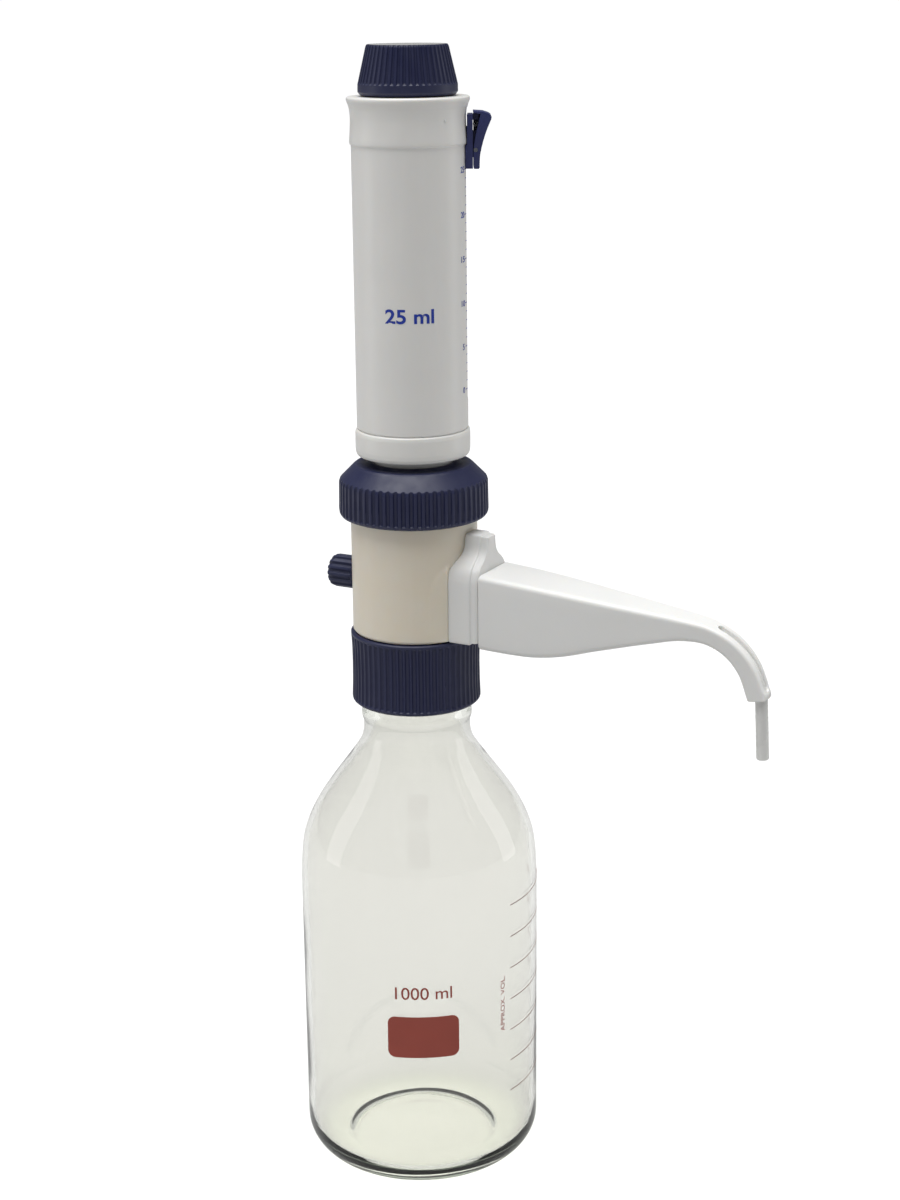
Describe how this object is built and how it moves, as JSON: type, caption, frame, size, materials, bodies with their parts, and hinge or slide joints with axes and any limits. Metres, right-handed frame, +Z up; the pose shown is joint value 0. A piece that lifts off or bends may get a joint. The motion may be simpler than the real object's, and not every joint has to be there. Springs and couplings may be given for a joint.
{
  "type": "bottle-top dispenser",
  "caption": "Bottle-top dispenser on a glass laboratory bottle: lifting pump sleeve with volume slider and ribbed cap, knurled rings, cream valve block, nozzle arm with bent delivery tube.",
  "frame": {"origin": "centre of the ring the bottle stands on, on the bottle's axis", "axes": "+Z up along the bottle's and pump's common axis, +X along the nozzle arm"},
  "size_m": [0.2059, 0.101, 0.4712],
  "materials": {
    "clear_glass": "gloss",
    "navy_plastic": "satin",
    "cream_plastic": "satin",
    "white_plastic": "satin gloss",
    "grey_white_plastic": "satin",
    "milky_tube": "waxy satin",
    "fluoropolymer_white": "waxy",
    "seal_rubber": "matte",
    "ceramic_white": "polished",
    "ruby_ball": "polished",
    "spring_steel": "bright",
    "pin_steel": "dark"
  },
  "bodies": {
    "bottle_body": {"bottle": "clear_glass"},
    "collar_body": {"collar": "navy_plastic"},
    "block_body": {"valve_block": "cream_plastic", "collar_retainer": "cream_plastic", "bottle_gasket": "fluoropolymer_white", "inlet_valve_housing": "fluoropolymer_white", "inlet_valve_seat": "ceramic_white", "inlet_ball_stop": "fluoropolymer_white", "inlet_o_ring": "seal_rubber", "outlet_valve_seat": "ceramic_white", "outlet_valve_housing": "fluoropolymer_white", "outlet_spring": "spring_steel", "outlet_o_ring": "seal_rubber", "cylinder_seal": "fluoropolymer_white", "glass_cylinder": "clear_glass", "cylinder_casing": "grey_white_plastic", "rod_guide": "grey_white_plastic", "nozzle_flange": "white_plastic", "nozzle_arm": "white_plastic", "delivery_tube": "milky_tube", "vent_o_ring": "seal_rubber"},
    "locking_ring_body": {"locking_ring": "navy_plastic"},
    "piston_body": {"piston_head": "fluoropolymer_white", "piston_seals": "fluoropolymer_white", "piston_rod": "spring_steel", "rod_nut": "spring_steel", "sleeve": "white_plastic", "sleeve_end_ring": "white_plastic"},
    "cap_body": {"top_cap": "navy_plastic", "cap_insert": "grey_white_plastic"},
    "slider_body": {"slider_carriage": "navy_plastic", "slider_pin": "pin_steel", "slider_spring": "spring_steel"},
    "lever_body": {"slider_lever": "navy_plastic"},
    "vent_plug_body": {"vent_plug": "navy_plastic"},
    "inlet_ball_body": {"inlet_ball": "ruby_ball"},
    "outlet_ball_body": {"outlet_ball": "ruby_ball"}
  },
  "joints": [
    {"name": "block_swivel", "type": "hinge", "parent": "bottle_body", "child": "block_body", "pos_m": [0, 0, 0.226], "axis": [0, 0, 1], "continuous": true},
    {"name": "collar_turn", "type": "hinge", "parent": "bottle_body", "child": "collar_body", "pos_m": [0, 0, 0.22], "axis": [0, 0, 1], "continuous": true},
    {"name": "locking_ring_turn", "type": "hinge", "parent": "block_body", "child": "locking_ring_body", "pos_m": [0, 0, 0.295], "axis": [0, 0, 1], "continuous": true},
    {"name": "piston_stroke", "type": "slide", "parent": "block_body", "child": "piston_body", "axis": [0, 0, 1], "range_m": [0, 0.0864]},
    {"name": "cap_turn", "type": "hinge", "parent": "piston_body", "child": "cap_body", "pos_m": [0, 0, 0.46], "axis": [0, 0, 1], "continuous": true},
    {"name": "slider_travel", "type": "slide", "parent": "piston_body", "child": "slider_body", "axis": [0, 0, 1], "range_m": [-0.0864, 0]},
    {"name": "lever_press", "type": "hinge", "parent": "slider_body", "child": "lever_body", "pos_m": [0.02304, 0.01225, 0.4313], "axis": [0.4695, -0.8829, 0], "range_deg": [0, 8], "stiffness_Nm_per_rad": 0.02, "springref_deg": -5.73, "deforming": ["slider_spring"]},
    {"name": "vent_plug_turn", "type": "hinge", "parent": "block_body", "child": "vent_plug_body", "pos_m": [-0.03, 0, 0.2568], "axis": [1, 0, 0], "continuous": true},
    {"name": "inlet_ball_lift", "type": "slide", "parent": "block_body", "child": "inlet_ball_body", "axis": [0, 0, 1], "range_m": [0, 0.0016]},
    {"name": "outlet_ball_lift", "type": "slide", "parent": "block_body", "child": "outlet_ball_body", "axis": [1, 0, 0], "range_m": [0, 0.0015], "stiffness_N_per_m": 5, "springref_m": -0.002, "deforming": ["outlet_spring"]}
  ]
}
